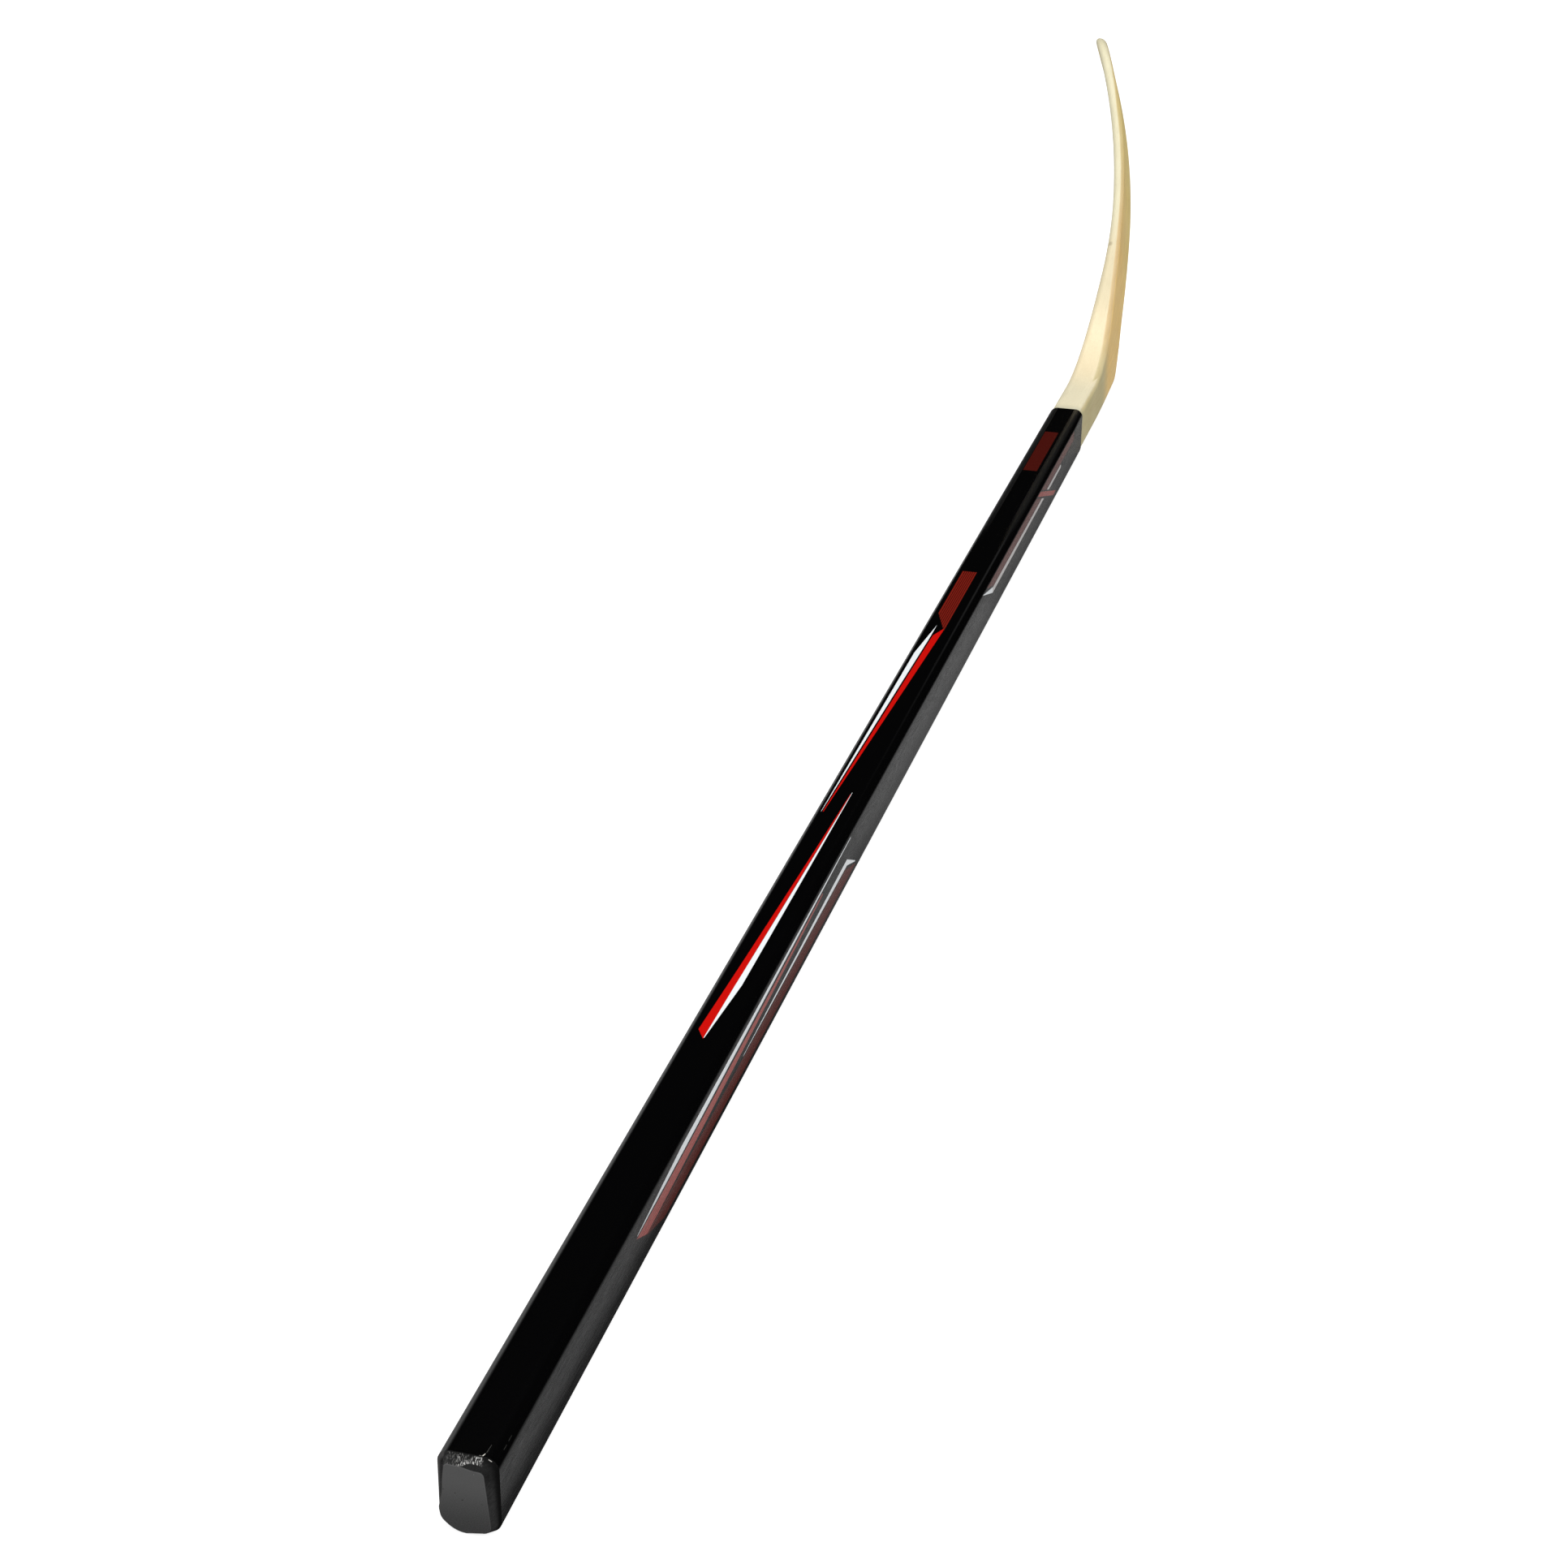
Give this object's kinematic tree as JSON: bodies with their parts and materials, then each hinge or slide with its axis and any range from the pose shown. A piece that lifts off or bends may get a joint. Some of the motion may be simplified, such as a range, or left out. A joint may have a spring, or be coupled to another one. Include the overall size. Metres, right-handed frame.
{
  "type": "street hockey stick",
  "caption": "Right-handed laminated wooden street hockey stick with a film-wrapped rectangular shaft, bare tapered hosel and curved wooden blade.",
  "frame": {"origin": "where the shaft's centre line meets the butt's flat end face", "axes": "+X runs along the shaft from the butt to the blade, +Y is the forehand side that the blade curves to, and +Z points from the shaft's narrow underside towards the side on which the toe stands"},
  "size_m": [1.3939, 0.0524, 0.2034],
  "materials": {
    "butt_coat_black": "thin matte black coat brushed over sanded wood",
    "film_black": "glossy black printed film with red and white stripes",
    "face_ply_wood": "greyish pale hardwood veneer, clear sealed",
    "core_ply_wood": "pale core board, clear sealed",
    "block_wood": "pale cream block, clear sealed",
    "blade_wood": "light cream wood, sanded and sealed",
    "blade_skin_resin": "satin tan resin over glass cloth"
  },
  "bodies": {
    "root": {"butt_end_coat": "butt_coat_black", "shaft_film": "film_black", "shaft_face_ply_forehand": "face_ply_wood", "shaft_face_ply_backhand": "face_ply_wood", "shaft_core_ply_forehand": "core_ply_wood", "shaft_core_ply_backhand": "core_ply_wood", "shaft_centre_ply": "core_ply_wood", "heel_block_forehand": "block_wood", "heel_block_backhand": "block_wood", "blade_core": "blade_wood", "blade_skin_forehand": "blade_skin_resin", "blade_skin_backhand": "blade_skin_resin"}
  },
  "joints": []
}
